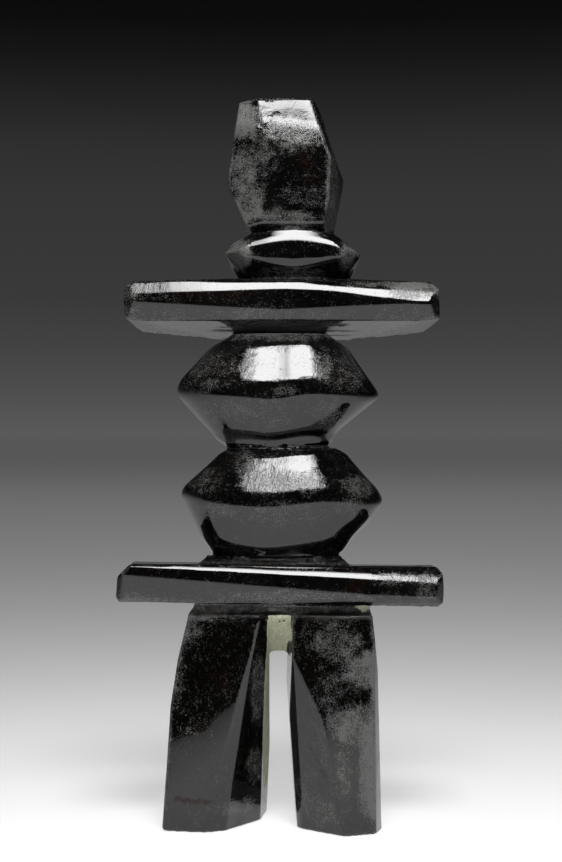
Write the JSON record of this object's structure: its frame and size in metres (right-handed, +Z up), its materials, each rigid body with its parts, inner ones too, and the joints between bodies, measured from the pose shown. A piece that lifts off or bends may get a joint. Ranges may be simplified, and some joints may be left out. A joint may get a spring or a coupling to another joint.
{
  "type": "inuit inukshuk sculpture",
  "caption": "Stone figure carved as a pile of ground and polished stones: legs with a slot between them, a hip slab, barrel-shaped stones, an arm slab, a flat neck stone and a head.",
  "frame": {"origin": "on the ground, under the middle of the figure's bounding box", "axes": "+Z up through the head, +Y towards the figure's back, +X towards the arm on the right of a viewer who faces it"},
  "size_m": [0.1504, 0.0608, 0.3392],
  "materials": {
    "polished_stone": "polished"
  },
  "bodies": {
    "root": {"inukshuk": "polished_stone"}
  },
  "joints": []
}
